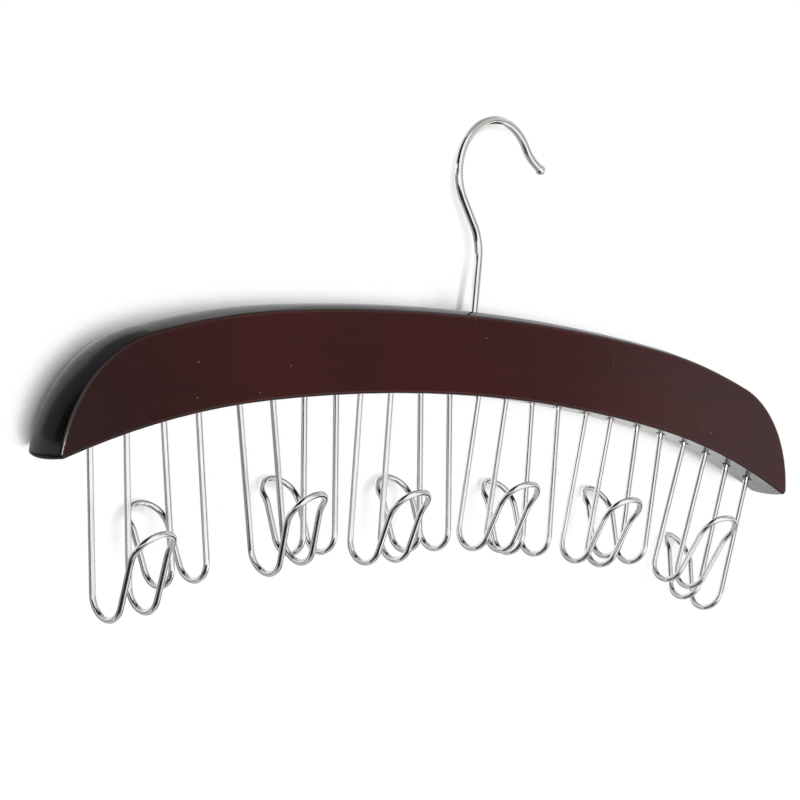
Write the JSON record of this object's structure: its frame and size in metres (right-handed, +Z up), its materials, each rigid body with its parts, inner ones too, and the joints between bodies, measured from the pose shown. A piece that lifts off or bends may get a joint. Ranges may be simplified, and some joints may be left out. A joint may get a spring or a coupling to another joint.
{
  "type": "tie hanger",
  "caption": "Arched dark lacquered wooden hanger bar with a swivelling chrome hook on top and looped chrome wire hooks below, facing front and back, for ties or belts.",
  "frame": {"origin": "the point where the axis of the hook's stem meets the inside of the hook's arc, where a rail bears", "axes": "+X along the bar, to the right seen from the front and towards the hook's open side; +Y to the back; +Z up along the stem"},
  "size_m": [0.4022, 0.0538, 0.1936],
  "materials": {
    "lacquered_wood": "semi-gloss dark red-brown lacquer",
    "chrome_wire": "polished chrome plate",
    "plated_steel": "dull zinc plate"
  },
  "bodies": {
    "hook": {"hanging_hook": "chrome_wire", "hook_nut": "plated_steel"},
    "bar": {"wooden_bar": "lacquered_wood", "hook_washer": "plated_steel", "back_tie_hook_1": "chrome_wire", "back_tie_hook_2": "chrome_wire", "back_tie_hook_3": "chrome_wire", "back_tie_hook_4": "chrome_wire", "back_tie_hook_5": "chrome_wire", "back_tie_hook_6": "chrome_wire", "front_tie_hook_1": "chrome_wire", "front_tie_hook_2": "chrome_wire", "front_tie_hook_3": "chrome_wire", "front_tie_hook_4": "chrome_wire", "front_tie_hook_5": "chrome_wire", "front_tie_hook_6": "chrome_wire"}
  },
  "joints": [
    {"name": "hook_swivel", "type": "hinge", "parent": "hook", "child": "bar", "pos_m": [0, 0, -0.0717], "axis": [0, 0, 1], "continuous": true}
  ]
}
